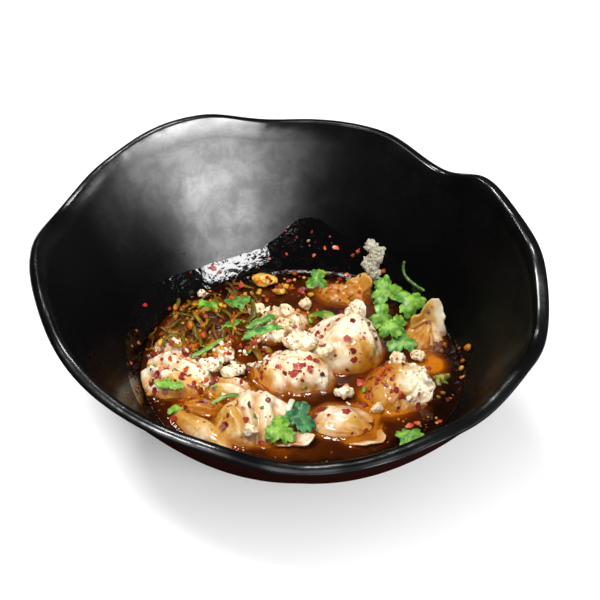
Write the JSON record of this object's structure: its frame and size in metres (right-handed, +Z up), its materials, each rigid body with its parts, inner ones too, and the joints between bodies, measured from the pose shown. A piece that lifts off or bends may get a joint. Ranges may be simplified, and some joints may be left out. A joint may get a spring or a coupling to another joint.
{
  "type": "bowl of dumplings in chilli broth",
  "caption": "Pleated boiled dumplings in chilli-oil broth with pickled greens, pale crumbs and coriander, in a deep glossy bowl with a wavy, slanted rim.",
  "frame": {"origin": "on the table, under the middle of the bowl's outline seen from above", "axes": "+Z up; -Y towards the eater, where the rim is lowest; +X to the right as seen from -Y"},
  "size_m": [0.2328, 0.223, 0.1131],
  "materials": {
    "bowl_glaze": "glossy black melamine",
    "broth": "glossy, translucent and oily",
    "dumpling_wrapper": "wet, translucent, pleated dough",
    "pickled_greens": "wet, dull olive leaf",
    "yellow_radish": "wet and smooth",
    "pale_crumb": "moist and crumbly",
    "coriander_leaf": "satin leaf with fine veins",
    "green_stalk": "satin cut stalk",
    "chilli_flake": "dried chilli, dark red and wet"
  },
  "bodies": {
    "root": {"bowl": "bowl_glaze", "dumpling_1": "dumpling_wrapper", "dumpling_2": "dumpling_wrapper", "dumpling_3": "dumpling_wrapper", "dumpling_4": "dumpling_wrapper", "dumpling_5": "dumpling_wrapper", "dumpling_6": "dumpling_wrapper", "dumpling_7": "dumpling_wrapper", "dumpling_8": "dumpling_wrapper", "dumpling_9": "dumpling_wrapper", "dumpling_10": "dumpling_wrapper", "dumpling_11": "dumpling_wrapper", "dumpling_12": "dumpling_wrapper", "pickled_greens": "pickled_greens", "broth": "broth", "wall_crumb": "pale_crumb", "stem": "green_stalk", "radish_1": "yellow_radish", "radish_2": "yellow_radish", "crumb_1": "pale_crumb", "crumb_2": "pale_crumb", "crumb_3": "pale_crumb", "crumb_4": "pale_crumb", "crumb_5": "pale_crumb", "crumb_6": "pale_crumb", "crumb_7": "pale_crumb", "crumb_8": "pale_crumb", "crumb_9": "pale_crumb", "crumb_10": "pale_crumb", "crumb_11": "pale_crumb", "crumb_12": "pale_crumb", "crumb_13": "pale_crumb", "crumb_14": "pale_crumb", "crumb_15": "pale_crumb", "crumb_16": "pale_crumb", "crumb_17": "pale_crumb", "crumb_18": "pale_crumb", "green_shred_1": "green_stalk", "green_shred_2": "green_stalk", "green_shred_3": "green_stalk", "green_shred_4": "green_stalk", "green_shred_5": "green_stalk", "green_shred_6": "green_stalk", "green_shred_7": "green_stalk", "green_shred_8": "green_stalk", "green_shred_9": "green_stalk", "green_shred_10": "green_stalk", "green_shred_11": "green_stalk", "green_shred_12": "green_stalk", "coriander_leaf_1": "coriander_leaf", "coriander_leaf_2": "coriander_leaf", "coriander_leaf_3": "coriander_leaf", "coriander_leaf_4": "coriander_leaf", "coriander_leaf_5": "coriander_leaf", "coriander_leaf_6": "coriander_leaf", "coriander_leaf_7": "coriander_leaf", "coriander_leaf_8": "coriander_leaf", "coriander_leaf_9": "coriander_leaf", "coriander_leaf_10": "coriander_leaf"}
  },
  "joints": []
}
